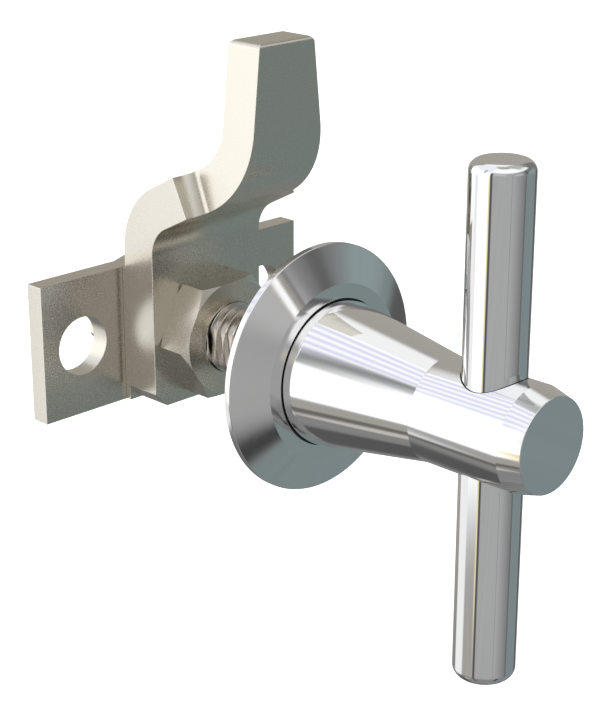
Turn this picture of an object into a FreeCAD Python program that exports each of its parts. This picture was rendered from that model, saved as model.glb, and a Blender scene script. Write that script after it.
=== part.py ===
# Quarter-turn cam latch: a polished tee handle in a rosette on the front of a door,
# a threaded spindle through the door, and on it a cranked cam with a plate for two rods.
# Millimetres. The spindle lies along Y, the user stands at -Y, and up is +Z.
# The origin is on the spindle's axis, in the door's front face.
import FreeCAD, Part
import math
import os
import re
import Sketcher

doc = FreeCAD.newDocument("CamLatch")

# Driving dimensions. Heights of the handle are measured forwards from the door's front face.
sizes = [
    ("RimDiameter", 40.3, "rosette, outside"),
    ("RimEdge", 1.1, "rosette, thickness of its rim"),
    ("FaceDiameter", 28.6, "rosette, outside of the flat ring round the hub"),
    ("FaceHeight", 3.95, "rosette, height of the flat ring"),
    ("FloorThickness", 2.0, "rosette, floor under the hub"),
    ("PocketGap", 0.25, "radial gap between hub and rosette"),
    ("NeckDiameter", 18.0, "rosette, threaded neck through the door"),
    ("NeckLength", 9.0, "rosette, neck behind the door's front face"),
    ("NeckChamfer", 0.7, "rosette, end of the neck"),
    ("HubBaseDiameter", 23.2, "hub, base"),
    ("HubBaseBand", 1.6, "hub, straight band above the rosette's ring"),
    ("HubBaseRound", 1.2, "hub, rounding from the band to the cone"),
    ("HubWaistDiameter", 16.6, "hub, where the cone meets the head"),
    ("HubWaistHeight", 26.6, "hub, height of the waist"),
    ("HubHeadHeight", 43.2, "hub, height at which the end taper starts"),
    ("HubEndDiameter", 14.7, "hub, end face"),
    ("HubHeight", 46.8, "hub, height of the end face"),
    ("BarDiameter", 9.7, "tee bar"),
    ("BarLength", 80.0, "tee bar"),
    ("BarHeight", 35.9, "tee bar, height of its axis"),
    ("BarEndRound", 1.8, "tee bar, rounding of the ends"),
    ("BarHoleClearance", 0.15, "radial clearance of the tee bar in the hub"),
    ("StudDiameter", 10.0, "spindle, threaded stud in the hub"),
    ("StudLength", 14.0, "spindle, length of the stud"),
    ("TapDrillDiameter", 8.5, "hub, drilled hole in front of its thread"),
    ("ThreadRunout", 0.5, "hub, thread beyond the shoulder of the grub screw"),
    ("GrubLength", 9.0, "grub screw, length with its point"),
    ("GrubPointDiameter", 7.0, "grub screw, point"),
    ("GrubPointLength", 2.0, "grub screw, point"),
    ("GrubSocketAcross", 5.0, "grub screw, hexagon socket"),
    ("GrubSocketDepth", 4.0, "grub screw, depth of the socket"),
    ("SpindleDiameter", 12.0, "spindle, journal and rear thread"),
    ("SpindleFlats", 10.4, "spindle, distance across the flats"),
    ("SpindleFlatStart", 12.0, "spindle, start of the flats behind the door's front face"),
    ("SpindleTail", 2.0, "spindle, length that stands out of the rear nut"),
    ("SpindleChamfer", 1.0, "spindle, chamfer at both ends"),
    ("SlideClearance", 0.05, "radial clearance on the spindle's flats and thread"),
    ("RunningGap", 0.05, "clearance of pieces that turn on each other"),
    ("BushDiameter", 14.0, "neck bush, outside"),
    ("FrictionWasherThickness", 1.1, "friction washer"),
    ("SealWidth", 1.1, "seal ring, radial width of its foot"),
    ("SealLip", 0.15, "seal ring, thickness of the lip round the hub"),
    ("SealLipHeight", 0.6, "seal ring, height of the lip above the friction washer"),
    ("SealSpace", 0.45, "radial space between friction washer and seal ring"),
    ("GasketInner", 22.0, "door gasket, inside"),
    ("GasketOuter", 36.0, "door gasket, outside"),
    ("GasketThickness", 0.8, "door gasket, flush in its recess"),
    ("StopPinDiameter", 2.0, "stop pin"),
    ("StopPinInset", 3.0, "stop pin, its axis inside the hub's edge"),
    ("StopPinSink", 1.6, "stop pin, depth in the rosette's floor"),
    ("StopPinReach", 1.9, "stop pin, length in the hub's groove"),
    ("StopGrooveClearance", 0.05, "stop pin, clearance all round in the groove"),
    ("StopGrooveDepth", 2.2, "hub, depth of the stop groove"),
    ("TurnAngle", 90.0, "handle, turn from stop to stop, degrees"),
    ("LocatingPinDiameter", 3.0, "locating pin that keeps the rosette from turning"),
    ("LocatingPinCircle", 29.0, "locating pin, diameter of the circle it stands on"),
    ("LocatingPinSink", 2.0, "locating pin, depth in the rosette"),
    ("DoorThickness", 2.0, "sheet metal of the door"),
    ("MountingWasherDiameter", 24.0, "mounting washer, outside"),
    ("MountingWasherThickness", 1.0, "mounting washer"),
    ("MountingNutAcross", 22.0, "mounting nut, across flats"),
    ("MountingNutThickness", 3.5, "mounting nut"),
    ("ThrustWasherDiameter", 17.6, "thrust washer, outside"),
    ("ThrustWasherThickness", 0.8, "thrust washer"),
    ("RetainerThickness", 1.0, "retaining ring"),
    ("RetainerGrooveDepth", 0.25, "spindle, depth of the retaining ring's groove"),
    ("RetainerWidth", 2.0, "retaining ring, radial width opposite its gap"),
    ("RetainerGap", 3.4, "retaining ring, gap between its ends"),
    ("RetainerLug", 3.2, "retaining ring, diameter of the lugs"),
    ("RetainerHole", 1.4, "retaining ring, plier holes"),
    ("StandOff", 19.7, "front nut, distance behind the door's front face"),
    ("NutAcross", 19.0, "spindle nuts, across flats"),
    ("NutThickness", 6.0, "spindle nuts"),
    ("NutChamferAngle", 30.0, "nuts, chamfer of the corners, degrees"),
    ("NutBoreChamfer", 0.5, "nuts, chamfer of the thread"),
    ("CamThickness", 7.0, "cam, bar stock"),
    ("CamWidth", 23.7, "cam, bar stock"),
    ("CamFoot", 11.3, "cam, from the spindle's axis down to its foot"),
    ("CamFootChamfer", 2.5, "cam, corners of the foot"),
    ("CamCrank", 19.0, "cam, how far the tip stands forwards of the leg"),
    ("CamBendStart", 14.9, "cam, height at which the first bend starts"),
    ("CamBendAngle", 62.8, "cam, both bends, degrees"),
    ("CamLowerBend", 6.0, "cam, inside radius of the first bend"),
    ("CamUpperBend", 8.0, "cam, inside radius of the second bend"),
    ("CamShoulder", 6.0, "cam, flat from the first bend to the shoulders"),
    ("CamShoulderRound", 2.5, "cam, rounding from shoulder to tip"),
    ("CamReach", 51.0, "cam, top of the tip above the spindle's axis"),
    ("CamTipWidth", 11.6, "cam, width at the top of the tip"),
    ("CamTipTaper", 5.6, "cam, taper of each side of the tip, degrees"),
    ("CamTipRound", 0.8, "cam, rounding round the top of the tip"),
    ("SpacerWidth", 22.4, "square spacer washer between cam and rod plate"),
    ("SpacerThickness", 1.1, "spacer washer"),
    ("PlateLength", 56.8, "rod plate"),
    ("PlateHeight", 23.4, "rod plate"),
    ("PlateThickness", 3.5, "rod plate"),
    ("RodHoleSpacing", 40.6, "rod plate, between the two rod holes"),
    ("RodHoleDiameter", 9.8, "rod plate, rod holes"),
    ("LockWasherDiameter", 21.1, "lock washer, outside"),
    ("LockWasherThickness", 1.6, "lock washer"),
    ("LockWasherSplit", 0.8, "lock washer, width of its split"),
    ("LockWasherSplitAngle", 25.0, "lock washer, slant of its split, degrees"),
    ("FrontNutTurn", 2.5, "front nut, how far it is turned from upright, degrees"),
    ("RearNutTurn", 6.0, "rear nut, how far it is turned from upright, degrees"),
]

sheet = doc.addObject("Spreadsheet::Sheet", "Dims")
for row, (alias, value, note) in enumerate(sizes, start=1):
    sheet.set(f"A{row}", note)
    sheet.set(f"B{row}", str(value))
    sheet.setAlias(f"B{row}", alias)
doc.recompute()


def fromSheet(formula):
    """Every word with a capital in a formula is a cell of the sheet."""
    return re.sub(r"\b([A-Z]\w*)", r"Dims.\1", formula)


# Places along the spindle, each worked out from what it stands on.
pocketRadius = "( HubBaseDiameter / 2 + PocketGap )"
spindleHole = "( SpindleDiameter / 2 + SlideClearance )"
journalHole = "( SpindleDiameter / 2 + RunningGap )"
stopPinRadius = "( HubBaseDiameter / 2 - StopPinInset )"
hubRear = "( 0 - FloorThickness - FrictionWasherThickness - RunningGap )"
stopPinEnd = "( 0 - FloorThickness - FrictionWasherThickness - StopPinReach )"
retainerFront = "( NeckLength + ThrustWasherThickness + RunningGap )"
retainerRear = "( NeckLength + ThrustWasherThickness + RunningGap + RetainerThickness )"
grooveRadius = "( SpindleDiameter / 2 - RetainerGrooveDepth )"
mountingNutFront = "( DoorThickness + MountingWasherThickness )"
mountingNutRear = "( DoorThickness + MountingWasherThickness + MountingNutThickness )"
camFront = "( StandOff + NutThickness )"
camRear = "( StandOff + NutThickness + CamThickness )"
spacerRear = f"( {camRear} + SpacerThickness )"
plateRear = f"( {spacerRear} + PlateThickness )"
lockWasherRear = f"( {plateRear} + LockWasherThickness )"
rearNutRear = f"( {lockWasherRear} + NutThickness )"
spindleRear = f"( {rearNutRear} + SpindleTail )"
bend = "CamBendAngle * 1deg"


def newBody(label):
    body = doc.addObject("PartDesign::Body", "Body_" + label)
    body.Label = label
    return body


def newSketch(body, name, plane, offset=None):
    """A sketch on one of the body's own planes, moved along the plane's normal."""
    sketch = body.newObject("Sketcher::SketchObject", name)
    for feature in body.Origin.OriginFeatures:
        if feature.Role == plane:
            sketch.AttachmentSupport = [(feature, "")]
    sketch.MapMode = "FlatFace"
    if offset is not None:
        sketch.setExpression("AttachmentOffset.Base.z", fromSheet(offset))
    return sketch


def bind(sketch, constraint, name, formula):
    sketch.addConstraint(constraint)
    sketch.renameConstraint(sketch.ConstraintCount - 1, name)
    sketch.setExpression("Constraints." + name, fromSheet(formula))


def addOutline(sketch, corners, first="corner"):
    """A closed outline of straight lines. Each corner is a pair of formulas."""
    count = len(corners)
    start = sketch.GeometryCount
    step = 2 * math.pi / count
    reach = FreeCAD.Vector(sheet.RimDiameter / 2, 0, 0)
    upright = FreeCAD.Vector(0, 0, 1)
    places = [FreeCAD.Rotation(upright, math.degrees(step * i)).multVec(reach) for i in range(count)]
    for i in range(count):
        sketch.addGeometry(Part.LineSegment(places[i], places[(i + 1) % count]), False)
    for i in range(count):
        following = start + (i + 1) % count
        sketch.addConstraint(Sketcher.Constraint("Coincident", start + i, 2, following, 1))
    for i, (across, up) in enumerate(corners):
        line = start + i
        for kind, axis, formula in (("DistanceX", -2, across), ("DistanceY", -1, up)):
            if formula == "0":
                sketch.addConstraint(Sketcher.Constraint("PointOnObject", line, 1, axis))
            else:
                datum = Sketcher.Constraint(kind, -1, 1, line, 1, 1.0 + i)
                bind(sketch, datum, f"{first}{i}{kind[-1]}", formula)


def addCircle(sketch, name, radius, across="0", up="0"):
    circle = sketch.addGeometry(Part.Circle(FreeCAD.Vector(1, 1, 0), FreeCAD.Vector(0, 0, 1), 3), False)
    for kind, axis, formula in (("DistanceX", -2, across), ("DistanceY", -1, up)):
        if formula == "0":
            sketch.addConstraint(Sketcher.Constraint("PointOnObject", circle, 3, axis))
        else:
            datum = Sketcher.Constraint(kind, -1, 1, circle, 3, 1.0)
            bind(sketch, datum, name + kind[-1], formula)
    bind(sketch, Sketcher.Constraint("Radius", circle, 3), name + "Radius", radius)


def addDoubleD(sketch, radius, halfFlats):
    """A round hole with two flats, left and right, as the spindle's section has."""
    round_, flat = 6.0, 4.5
    corner = math.acos(flat / round_)
    centre = FreeCAD.Vector(0, 0, 0)
    up = FreeCAD.Vector(0, 0, 1)
    circle = Part.Circle(centre, up, round_)
    top = sketch.addGeometry(Part.ArcOfCircle(circle, corner, math.pi - corner), False)
    bottom = sketch.addGeometry(Part.ArcOfCircle(circle, math.pi + corner, 2 * math.pi - corner), False)
    rise = round_ * math.sin(corner)
    left = sketch.addGeometry(
        Part.LineSegment(FreeCAD.Vector(-flat, rise, 0), FreeCAD.Vector(-flat, -rise, 0)), False
    )
    right = sketch.addGeometry(
        Part.LineSegment(FreeCAD.Vector(flat, -rise, 0), FreeCAD.Vector(flat, rise, 0)), False
    )
    for arc in (top, bottom):
        sketch.addConstraint(Sketcher.Constraint("Coincident", arc, 3, -1, 1))
    joints = ((top, 2, left, 1), (left, 2, bottom, 1), (bottom, 2, right, 1), (right, 2, top, 1))
    for a, aEnd, b, bEnd in joints:
        sketch.addConstraint(Sketcher.Constraint("Coincident", a, aEnd, b, bEnd))
    sketch.addConstraint(Sketcher.Constraint("Equal", top, bottom))
    sketch.addConstraint(Sketcher.Constraint("Vertical", left))
    sketch.addConstraint(Sketcher.Constraint("Vertical", right))
    bind(sketch, Sketcher.Constraint("Radius", top, round_), "holeRadius", radius)
    bind(sketch, Sketcher.Constraint("DistanceX", -1, 1, right, 1, flat), "flatRight", halfFlats)
    bind(sketch, Sketcher.Constraint("DistanceX", left, 1, -1, 1, flat), "flatLeft", halfFlats)


def addArcSlot(sketch, radius, half, angle):
    """A slot along a circle about the origin, with round ends. It starts at the top and runs to the left."""
    middle, end = 8.0, 1.0
    origin = FreeCAD.Vector(0, 0, 0)
    up = FreeCAD.Vector(0, 0, 1)
    top = FreeCAD.Vector(0, middle, 0)
    left = FreeCAD.Vector(-middle, 0, 0)
    quarter, straight = math.pi / 2, math.pi

    def arc(centre, arcRadius, start, finish):
        return sketch.addGeometry(Part.ArcOfCircle(Part.Circle(centre, up, arcRadius), start, finish), False)

    outer = arc(origin, middle + end, quarter, straight)
    inner = arc(origin, middle - end, quarter, straight)
    first = arc(top, end, -quarter, quarter)
    last = arc(left, end, straight, 2 * straight)
    for wall in (outer, inner):
        sketch.addConstraint(Sketcher.Constraint("Coincident", wall, 3, -1, 1))
    joints = ((first, 2, outer, 1), (outer, 2, last, 1), (last, 2, inner, 2), (inner, 1, first, 1))
    for a, aEnd, b, bEnd in joints:
        sketch.addConstraint(Sketcher.Constraint("Tangent", a, aEnd, b, bEnd))
    sketch.addConstraint(Sketcher.Constraint("PointOnObject", first, 3, -2))
    bind(sketch, Sketcher.Constraint("DistanceY", -1, 1, first, 3, middle), "slotRadius", radius)
    slotEnd = Sketcher.Constraint("DistanceY", -1, 1, last, 3, 0.0)
    bind(sketch, slotEnd, "slotEnd", f"{radius} * cos({angle})")
    bind(sketch, Sketcher.Constraint("Radius", first, end), "slotHalf", half)


def revolve(body, name, sketch, kind="PartDesign::Revolution"):
    feature = body.newObject(kind, name)
    feature.Profile = sketch
    feature.ReferenceAxis = (sketch, ["H_Axis"])
    feature.Angle = 360
    sketch.Visibility = False
    return feature


def extrude(body, name, sketch, length=None, kind="PartDesign::Pad", through=False, midplane=False,
            backwards=False):
    feature = body.newObject(kind, name)
    feature.Profile = sketch
    if through:
        feature.Type = "ThroughAll"
    else:
        feature.setExpression("Length", fromSheet(length))
    feature.SideType = "Symmetric" if midplane else "One side"
    feature.Reversed = backwards
    return feature


def dressEdges(body, name, kind, test, size):
    """A fillet or a chamfer on the edges of the body's last feature that pass the test."""
    doc.recompute()
    base = body.Tip
    chosen = [f"Edge{i}" for i, edge in enumerate(base.Shape.Edges, start=1) if test(edge)]
    if not chosen:
        raise RuntimeError(f"{body.Label}: {name} found no edge")
    feature = body.newObject(kind, name)
    feature.Base = (base, chosen)
    feature.setExpression("Radius" if kind == "PartDesign::Fillet" else "Size", fromSheet(size))
    return feature


def turned(label, outline):
    """A piece turned about its own Y axis. Each corner is (along the axis, radius)."""
    body = newBody(label)
    sketch = newSketch(body, label + "_section", "YZ_Plane")
    addOutline(sketch, outline)
    revolve(body, label + "_turning", sketch)
    return body


def ring(label, front, rear, inner, outer):
    return turned(label, [(front, inner), (rear, inner), (rear, outer), (front, outer)])


def pocketHole(body, name, plane, radius, across, up, length, offset, backwards=False):
    sketch = newSketch(body, name + "_circle", plane, offset)
    addCircle(sketch, name, radius, across, up)
    return extrude(body, name, sketch, length, "PartDesign::Pocket", backwards=backwards)


def hexagonCorners(across, turn="0"):
    corners = []
    for i in range(6):
        angle = f"( {60 * i} + {turn} ) * 1deg"
        corners.append((f"( {across} / sqrt(3) * cos({angle}) )", f"( {across} / sqrt(3) * sin({angle}) )"))
    return corners


def hexagonNut(label, front, rear, across, thickness, bore, turn="0"):
    """A hexagon nut between front and rear, chamfered on both faces."""
    body = newBody(label)
    plan = newSketch(body, label + "_plan", "XZ_Plane", f"0 - {rear}")
    addOutline(plan, hexagonCorners(across, turn))
    addCircle(plan, "bore", bore)
    extrude(body, label + "_blank", plan, thickness)
    faceRadius = f"( {across} * 0.508 )"
    outside = f"( {across} * 0.62 )"
    slope = f"( ( {outside} - {faceRadius} ) * tan( NutChamferAngle * 1deg ) )"
    section = newSketch(body, label + "_chamfer", "YZ_Plane")
    addOutline(section, [(front, faceRadius), (f"{front} + {slope}", outside), (front, outside)], "front")
    addOutline(section, [(rear, faceRadius), (f"{rear} - {slope}", outside), (rear, outside)], "rear")
    revolve(body, label + "_corners", section, "PartDesign::Groove")
    doc.recompute()
    boreRadius = plan.getDatum("boreRadius").Value
    dressEdges(body, label + "_countersink", "PartDesign::Chamfer", isCircleOf(boreRadius), "NutBoreChamfer")
    return body


def isCircleOf(radius, behind=-1000.0, ahead=1000.0):
    """Circles of this radius whose place along the spindle lies between the two limits."""
    def test(edge):
        isCircle = isinstance(edge.Curve, Part.Circle) and abs(edge.Curve.Radius - radius) < 0.001
        return isCircle and behind < edge.Curve.Center.y < ahead
    return test


# Tee handle


def makeHub():
    threadEnd = "( 0 - BarHeight + BarDiameter / 2 + GrubPointLength - ThreadRunout )"
    body = turned("handle_hub", [
        (hubRear, "StudDiameter / 2"),
        (hubRear, "HubBaseDiameter / 2"),
        ("0 - FaceHeight - HubBaseBand", "HubBaseDiameter / 2"),
        ("0 - HubWaistHeight", "HubWaistDiameter / 2"),
        ("0 - HubHeadHeight", "HubWaistDiameter / 2"),
        ("0 - HubHeight", "HubEndDiameter / 2"),
        ("0 - HubHeight", "0"),
        ("0 - BarHeight", "0"),
        ("0 - BarHeight", "TapDrillDiameter / 2"),
        (threadEnd, "TapDrillDiameter / 2"),
        (threadEnd, "StudDiameter / 2"),
    ])
    dressEdges(body, "base_round", "PartDesign::Fillet",
               isCircleOf(sheet.HubBaseDiameter / 2, ahead=-sheet.FaceHeight), "HubBaseRound")
    cross = newSketch(body, "bar_hole_circle", "XY_Plane")
    addCircle(cross, "barHole", "BarDiameter / 2 + BarHoleClearance", "0", "0 - BarHeight")
    extrude(body, "bar_hole", cross, kind="PartDesign::Pocket", through=True, midplane=True)

    # the stop groove runs from the top a quarter turn to the left, with a round end at each stop
    groove = newSketch(body, "stop_groove_plan", "XZ_Plane", f"0 - {hubRear}")
    addArcSlot(groove, stopPinRadius, "StopPinDiameter / 2 + StopGrooveClearance", "TurnAngle * 1deg")
    extrude(body, "stop_groove", groove, "StopGrooveDepth", "PartDesign::Pocket", backwards=True)
    return body


def makeTeeBar():
    body = turned("tee_bar", [
        ("0 - BarLength / 2", "0"),
        ("0 - BarLength / 2", "BarDiameter / 2"),
        ("BarLength / 2", "BarDiameter / 2"),
        ("BarLength / 2", "0"),
    ])
    dressEdges(body, "bar_ends", "PartDesign::Fillet", lambda edge: isinstance(edge.Curve, Part.Circle),
               "BarEndRound")
    body.Placement.Rotation = FreeCAD.Rotation(FreeCAD.Vector(1, 0, 0), 90)
    body.setExpression("Placement.Base.y", fromSheet("0 - BarHeight"))
    return body


def makeGrubScrew():
    # its flat point bears on the tee bar
    point = "( 0 - BarHeight + BarDiameter / 2 )"
    rear = f"( {point} + GrubLength )"
    body = turned("grub_screw", [
        (point, "0"),
        (point, "GrubPointDiameter / 2"),
        (f"{point} + GrubPointLength", "GrubPointDiameter / 2"),
        (f"{point} + GrubPointLength", "StudDiameter / 2"),
        (rear, "StudDiameter / 2"),
        (rear, "0"),
    ])
    socket = newSketch(body, "socket_plan", "XZ_Plane", f"0 - {rear}")
    addOutline(socket, hexagonCorners("GrubSocketAcross"))
    extrude(body, "socket", socket, "GrubSocketDepth", "PartDesign::Pocket", backwards=True)
    return body


# Spindle and what turns with it


def makeSpindle():
    studEnd = f"( {hubRear} - StudLength )"
    body = turned("spindle", [
        (studEnd, "0"),
        (studEnd, "StudDiameter / 2 - SpindleChamfer"),
        (f"{studEnd} + SpindleChamfer", "StudDiameter / 2"),
        (hubRear, "StudDiameter / 2"),
        (hubRear, "SpindleDiameter / 2"),
        (retainerFront, "SpindleDiameter / 2"),
        (retainerFront, grooveRadius),
        (retainerRear, grooveRadius),
        (retainerRear, "SpindleDiameter / 2"),
        (f"{spindleRear} - SpindleChamfer", "SpindleDiameter / 2"),
        (spindleRear, "SpindleDiameter / 2 - SpindleChamfer"),
        (spindleRear, "0"),
    ])
    plan = newSketch(body, "flats_plan", "XY_Plane")
    for name, side in (("right", ""), ("left", "0 - ")):
        inner = side + "SpindleFlats / 2"
        outer = side + "SpindleDiameter"
        addOutline(plan, [
            (inner, "SpindleFlatStart"),
            (outer, "SpindleFlatStart"),
            (outer, f"{spindleRear} + SpindleTail"),
            (inner, f"{spindleRear} + SpindleTail"),
        ], name)
    extrude(body, "flats", plan, kind="PartDesign::Pocket", through=True, midplane=True)
    return body


def makeCam():
    """One strip with two bends. The tip is made first, so that its taper spares the leg."""
    body = newBody("cam")
    # front line of the slanted web, and the height of the two bends' centres
    tipFront = f"( {camFront} - CamCrank )"
    lowerY = f"( {camFront} - CamLowerBend )"
    upperY = f"( {tipFront} + CamUpperBend + CamThickness )"
    span = "( CamLowerBend + CamUpperBend + CamThickness )"
    upperZ = f"( CamBendStart + ( {span} - ( {upperY} - {lowerY} ) * cos({bend}) ) / sin({bend}) )"
    # where the sharp corners of an unrounded crank would be
    lowerCorner = f"( CamBendStart + CamLowerBend * tan({bend} / 2) )"
    lowerBack = f"( CamBendStart + ( CamLowerBend + CamThickness ) * tan({bend} / 2) )"
    upperCorner = f"( {upperZ} - CamUpperBend * tan({bend} / 2) )"
    upperFront = f"( {upperZ} - ( CamUpperBend + CamThickness ) * tan({bend} / 2) )"
    # the shoulder line across the web
    alongY = f"( CamLowerBend * cos({bend}) - CamShoulder * sin({bend}) )"
    alongZ = f"( CamLowerBend * sin({bend}) + CamShoulder * cos({bend}) )"
    shoulderY = f"( {lowerY} + {alongY} )"
    shoulderZ = f"( CamBendStart + {alongZ} )"
    shoulderBackY = f"( {shoulderY} + CamThickness * cos({bend}) )"
    shoulderBackZ = f"( {shoulderZ} + CamThickness * sin({bend}) )"

    profile = newSketch(body, "tip_profile", "YZ_Plane")
    addOutline(profile, [
        (shoulderY, shoulderZ),
        (shoulderBackY, shoulderBackZ),
        (f"{tipFront} + CamThickness", upperCorner),
        (f"{tipFront} + CamThickness", "CamReach"),
        (tipFront, "CamReach"),
        (tipFront, upperFront),
    ])
    extrude(body, "tip_blank", profile, "CamWidth", midplane=True)
    legY = sheet.StandOff + sheet.NutThickness
    tipY = legY - sheet.CamCrank

    def isCrease(place):
        """Edges straight across the strip, at this place along the spindle, apart from its ends."""
        def test(edge):
            box = edge.BoundBox
            isAcross = box.XLength > sheet.CamWidth - 0.01 and box.YLength < 0.01 and box.ZLength < 0.01
            return isAcross and abs(box.YMin - place) < 0.01 and 0 < box.ZMin < sheet.CamReach - 0.01
        return test

    dressEdges(body, "upper_bend_inside", "PartDesign::Fillet", isCrease(tipY + sheet.CamThickness),
               "CamUpperBend")
    dressEdges(body, "upper_bend_outside", "PartDesign::Fillet", isCrease(tipY),
               "CamUpperBend + CamThickness")

    taper = newSketch(body, "taper_plan", "XZ_Plane")
    for name, side in (("right", ""), ("left", "0 - ")):
        top = side + "CamTipWidth / 2"
        base = f"{side}( CamTipWidth / 2 + CamReach * tan( CamTipTaper * 1deg ) )"
        outside = side + "CamWidth"
        addOutline(taper, [(top, "CamReach"), (outside, "CamReach"), (outside, "0"), (base, "0")], name)
    extrude(body, "taper", taper, kind="PartDesign::Pocket", through=True, midplane=True)

    leg = newSketch(body, "leg_profile", "YZ_Plane")
    addOutline(leg, [
        (camFront, "0 - CamFoot"),
        (camRear, "0 - CamFoot"),
        (camRear, lowerBack),
        (shoulderBackY, shoulderBackZ),
        (shoulderY, shoulderZ),
        (camFront, lowerCorner),
    ])
    extrude(body, "leg_blank", leg, "CamWidth", midplane=True)
    dressEdges(body, "lower_bend_inside", "PartDesign::Fillet", isCrease(legY), "CamLowerBend")
    dressEdges(body, "lower_bend_outside", "PartDesign::Fillet", isCrease(legY + sheet.CamThickness),
               "CamLowerBend + CamThickness")

    halfWidth = sheet.CamWidth / 2
    slant = math.radians(sheet.CamBendAngle)

    def isShoulderCorner(edge):
        box = edge.BoundBox
        isSlanted = (abs(box.YLength - sheet.CamThickness * math.cos(slant)) < 0.01
                     and abs(box.ZLength - sheet.CamThickness * math.sin(slant)) < 0.01)
        return isSlanted and -halfWidth + 0.01 < box.XMin and box.XMax < halfWidth - 0.01

    def isFootCorner(edge):
        box = edge.BoundBox
        isAlong = box.XLength < 0.01 and box.YLength > sheet.CamThickness - 0.01
        return isAlong and box.ZMax < 0.01 - sheet.CamFoot

    dressEdges(body, "shoulder_rounds", "PartDesign::Fillet", isShoulderCorner, "CamShoulderRound")
    dressEdges(body, "foot_corners", "PartDesign::Chamfer", isFootCorner, "CamFootChamfer")
    dressEdges(body, "tip_round", "PartDesign::Fillet",
               lambda edge: edge.BoundBox.ZMin > sheet.CamReach - 0.01, "CamTipRound")
    cutSpindleHole(body)
    return body


def cutSpindleHole(body):
    plan = newSketch(body, "spindle_hole_plan", "XZ_Plane")
    addDoubleD(plan, spindleHole, "SpindleFlats / 2 + SlideClearance")
    extrude(body, "spindle_hole", plan, kind="PartDesign::Pocket", through=True, midplane=True)


def makeSpacer():
    """A square washer that keeps the cam's bend clear of the rod plate."""
    body = newBody("spacer_washer")
    half = "SpacerWidth / 2"
    plan = newSketch(body, "spacer_plan", "XZ_Plane", f"0 - {spacerRear}")
    addOutline(plan, [
        (f"0 - {half}", f"0 - {half}"),
        (half, f"0 - {half}"),
        (half, half),
        (f"0 - {half}", half),
    ])
    extrude(body, "spacer", plan, "SpacerThickness")
    cutSpindleHole(body)
    return body


def makeRodPlate():
    body = newBody("rod_plate")
    plan = newSketch(body, "plate_plan", "XZ_Plane", f"0 - {plateRear}")
    addOutline(plan, [
        ("0 - PlateLength / 2", "0 - PlateHeight / 2"),
        ("PlateLength / 2", "0 - PlateHeight / 2"),
        ("PlateLength / 2", "PlateHeight / 2"),
        ("0 - PlateLength / 2", "PlateHeight / 2"),
    ])
    addCircle(plan, "leftRodHole", "RodHoleDiameter / 2", "0 - RodHoleSpacing / 2")
    addCircle(plan, "rightRodHole", "RodHoleDiameter / 2", "RodHoleSpacing / 2")
    extrude(body, "plate", plan, "PlateThickness")
    cutSpindleHole(body)
    return body


def makeLockWasher():
    """A spring lock washer, flat as it is when tightened, with its slanting split at the bottom."""
    body = ring("lock_washer", plateRear, lockWasherRear, spindleHole, "LockWasherDiameter / 2")
    split = newSketch(body, "split_plan", "XY_Plane")
    lean = "( LockWasherThickness / 2 * tan( LockWasherSplitAngle * 1deg ) )"
    addOutline(split, [
        (f"0 - {lean} - LockWasherSplit / 2", plateRear),
        (f"LockWasherSplit / 2 - {lean}", plateRear),
        (f"LockWasherSplit / 2 + {lean}", lockWasherRear),
        (f"{lean} - LockWasherSplit / 2", lockWasherRear),
    ])
    extrude(body, "split", split, kind="PartDesign::Pocket", through=True)
    return body


def makeRetainingRing():
    """An open ring in the spindle's groove, widest opposite its gap, with a lug at each end."""
    body = newBody("retaining_ring")
    place = f"0 - {retainerRear}"
    plan = newSketch(body, "retainer_plan", "XZ_Plane", place)
    addCircle(plan, "outside", f"{grooveRadius} + 0.75 * RetainerWidth", "0", "0 - RetainerWidth / 4")
    addCircle(plan, "bore", grooveRadius)
    extrude(body, "retainer", plan, "RetainerThickness")
    lugX = "( RetainerGap / 2 + RetainerLug / 2 )"
    lugZ = f"( sqrt( ( {grooveRadius} + RetainerLug / 2 + RunningGap ) ^ 2 - {lugX} ^ 2 ) )"
    for side, sign in (("right", ""), ("left", "0 - ")):
        lug = newSketch(body, side + "_lug_plan", "XZ_Plane", place)
        addCircle(lug, side + "Lug", "RetainerLug / 2", sign + lugX, lugZ)
        extrude(body, side + "_lug", lug, "RetainerThickness")
    cut = newSketch(body, "gap_plan", "XZ_Plane", place)
    top = f"( {grooveRadius} + 2 * RetainerLug )"
    addOutline(cut, [
        ("0 - RetainerGap / 2", "SpindleDiameter / 4"),
        ("RetainerGap / 2", "SpindleDiameter / 4"),
        ("RetainerGap / 2", top),
        ("0 - RetainerGap / 2", top),
    ])
    addCircle(cut, "rightPlierHole", "RetainerHole / 2", lugX, lugZ)
    addCircle(cut, "leftPlierHole", "RetainerHole / 2", "0 - " + lugX, lugZ)
    extrude(body, "gap", cut, kind="PartDesign::Pocket", through=True, midplane=True)
    return body


# Rosette and what stays with the door


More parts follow.
